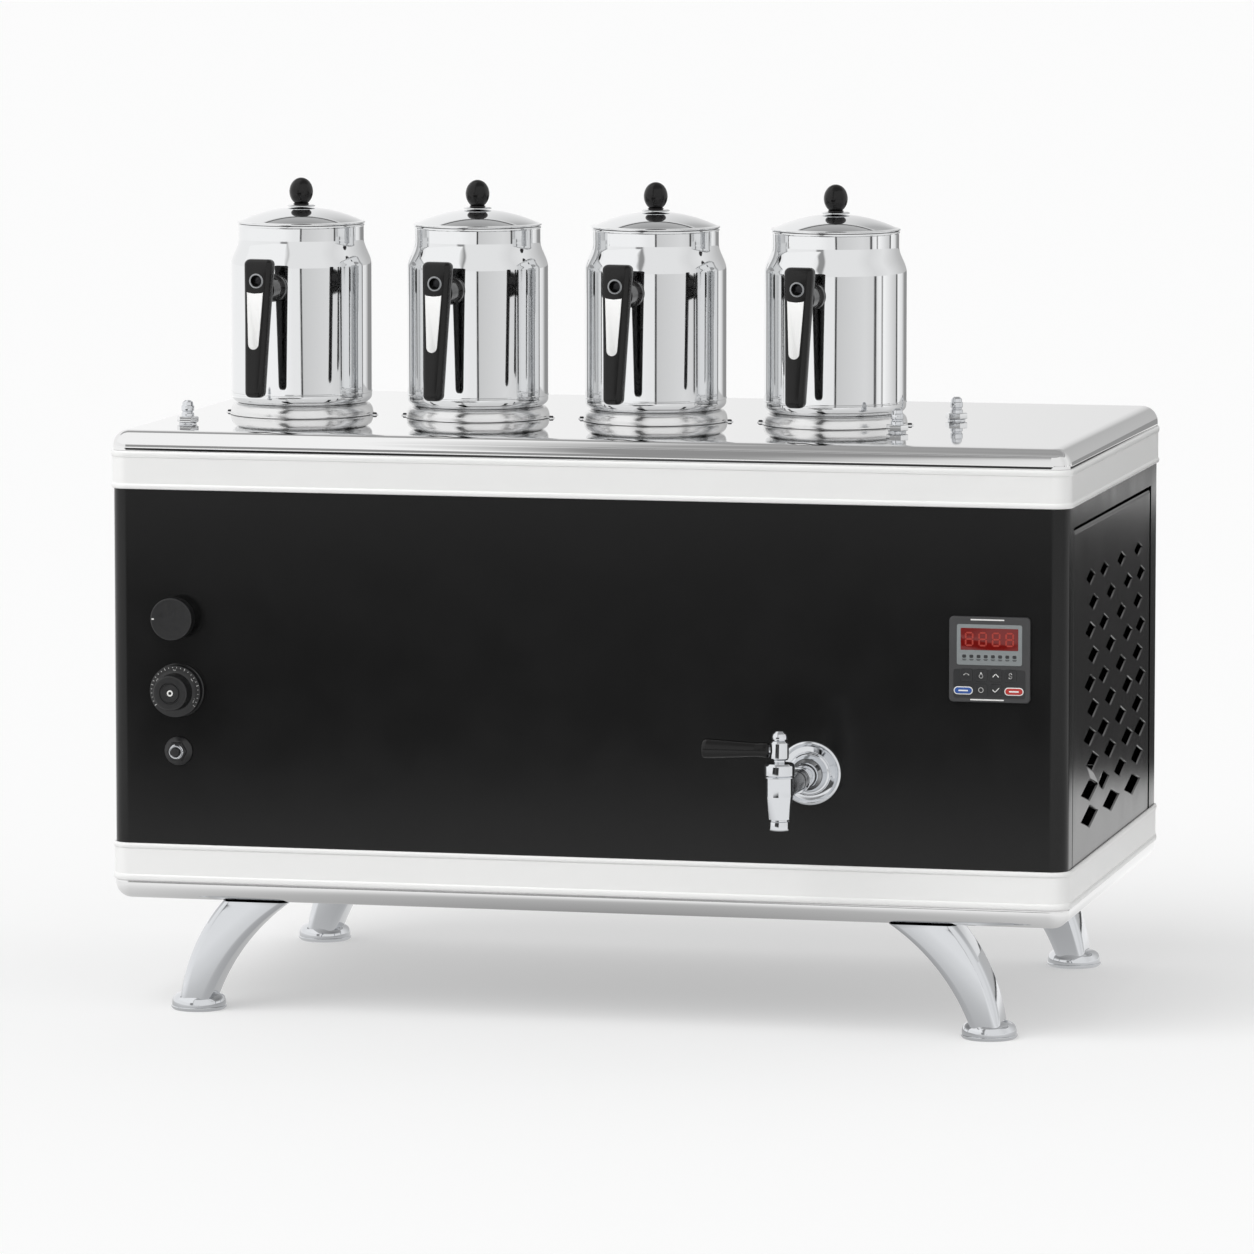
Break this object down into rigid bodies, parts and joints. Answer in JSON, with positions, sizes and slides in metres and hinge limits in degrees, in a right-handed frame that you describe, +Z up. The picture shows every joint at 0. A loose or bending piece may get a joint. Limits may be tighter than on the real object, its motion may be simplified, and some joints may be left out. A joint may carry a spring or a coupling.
{
  "type": "tea urn",
  "caption": "Counter-top tea boiler: black vented case on curved legs, polished cover with lift-off teapots on seat rings, lever tap, knobs and controller.",
  "frame": {"origin": "on the floor, under the middle of the whole outline with the tap", "axes": "+X to the right seen from the front, +Y to the back, +Z up"},
  "size_m": [0.9052, 0.6678, 0.7662],
  "materials": {
    "cover_steel": "mirror-polished stainless steel",
    "trim_aluminium": "satin anodised, with bright beads",
    "case_lacquer": "black semi-gloss powder coat",
    "leg_chrome": "bright chrome plating",
    "tank_steel": "plain mill stainless steel",
    "burner_iron": "bare cast iron",
    "pipe_brass": "plain drawn brass",
    "knob_plastic": "black moulded phenolic",
    "controller_plastic": "fine-textured black",
    "window_red": "clear dark red filter",
    "keypad_film": "printed membrane",
    "gland_nylon": "black nylon",
    "tap_chrome": "bright chrome plating",
    "pot_steel": "mirror-polished stainless steel",
    "grip_plastic": "black phenolic"
  },
  "bodies": {
    "root": {"top_cover": "cover_steel", "bottom_pan": "cover_steel", "top_trim": "trim_aluminium", "bottom_trim": "trim_aluminium", "front_panel": "case_lacquer", "back_panel": "case_lacquer", "right_side_panel": "case_lacquer", "left_side_panel": "case_lacquer", "leg_front_left": "leg_chrome", "foot_front_left": "leg_chrome", "leg_front_right": "leg_chrome", "foot_front_right": "leg_chrome", "leg_back_left": "leg_chrome", "foot_back_left": "leg_chrome", "leg_back_right": "leg_chrome", "foot_back_right": "leg_chrome", "water_tank": "tank_steel", "heating_element": "tank_steel", "burner": "burner_iron", "gas_inlet_pipe": "pipe_brass", "gas_valve": "pipe_brass", "thermostat": "tank_steel", "igniter_body": "knob_plastic", "cable_gland": "gland_nylon", "dial_bezel": "knob_plastic", "igniter_bezel": "knob_plastic", "controller_case": "controller_plastic", "display_window": "window_red", "keypad": "keypad_film", "tap_flange": "tap_chrome", "tap_insulator": "knob_plastic", "tap_body": "tap_chrome", "vent_stud_left": "tap_chrome", "vent_stud_middle": "tap_chrome", "vent_stud_right": "tap_chrome", "seat_ring_1": "cover_steel", "seat_ring_2": "cover_steel", "seat_ring_3": "cover_steel", "seat_ring_4": "cover_steel"},
    "gas_knob_body": {"gas_knob": "knob_plastic"},
    "thermostat_knob_body": {"thermostat_knob": "knob_plastic"},
    "igniter_button_body": {"igniter_button": "knob_plastic"},
    "tap_lever_body": {"tap_lever": "tap_chrome", "tap_grip": "grip_plastic"},
    "pot_1": {"pot_body_1": "pot_steel", "pot_handle_1": "grip_plastic"},
    "lid_1": {"pot_lid_1": "pot_steel", "lid_knob_1": "grip_plastic"},
    "pot_2": {"pot_body_2": "pot_steel", "pot_handle_2": "grip_plastic"},
    "lid_2": {"pot_lid_2": "pot_steel", "lid_knob_2": "grip_plastic"},
    "pot_3": {"pot_body_3": "pot_steel", "pot_handle_3": "grip_plastic"},
    "lid_3": {"pot_lid_3": "pot_steel", "lid_knob_3": "grip_plastic"},
    "pot_4": {"pot_body_4": "pot_steel", "pot_handle_4": "grip_plastic"},
    "lid_4": {"pot_lid_4": "pot_steel", "lid_knob_4": "grip_plastic"}
  },
  "joints": [
    {"name": "gas_knob_turn", "type": "hinge", "parent": "root", "child": "gas_knob_body", "pos_m": [-0.385, -0.2001, 0.3705], "axis": [0, -1, 0], "range_deg": [0, 180]},
    {"name": "thermostat_turn", "type": "hinge", "parent": "root", "child": "thermostat_knob_body", "pos_m": [-0.385, -0.2001, 0.3022], "axis": [0, 1, 0], "range_deg": [0, 270]},
    {"name": "igniter_press", "type": "slide", "parent": "root", "child": "igniter_button_body", "axis": [0, 1, 0], "range_m": [0, 0.003], "stiffness_N_per_m": 800, "springref_m": -0.002},
    {"name": "tap_turn", "type": "hinge", "parent": "root", "child": "tap_lever_body", "pos_m": [0.213, -0.3201, 0.2425], "axis": [0, 0, 1], "range_deg": [0, 90]},
    {"name": "pot_1_lift", "type": "slide", "parent": "root", "child": "pot_1", "axis": [0, 0, 1], "range_m": [0, 0.2]},
    {"name": "lid_1_lift", "type": "slide", "parent": "pot_1", "child": "lid_1", "axis": [0, 0, 1], "range_m": [0, 0.06]},
    {"name": "pot_2_lift", "type": "slide", "parent": "root", "child": "pot_2", "axis": [0, 0, 1], "range_m": [0, 0.2]},
    {"name": "lid_2_lift", "type": "slide", "parent": "pot_2", "child": "lid_2", "axis": [0, 0, 1], "range_m": [0, 0.06]},
    {"name": "pot_3_lift", "type": "slide", "parent": "root", "child": "pot_3", "axis": [0, 0, 1], "range_m": [0, 0.2]},
    {"name": "lid_3_lift", "type": "slide", "parent": "pot_3", "child": "lid_3", "axis": [0, 0, 1], "range_m": [0, 0.06]},
    {"name": "pot_4_lift", "type": "slide", "parent": "root", "child": "pot_4", "axis": [0, 0, 1], "range_m": [0, 0.2]},
    {"name": "lid_4_lift", "type": "slide", "parent": "pot_4", "child": "lid_4", "axis": [0, 0, 1], "range_m": [0, 0.06]}
  ]
}
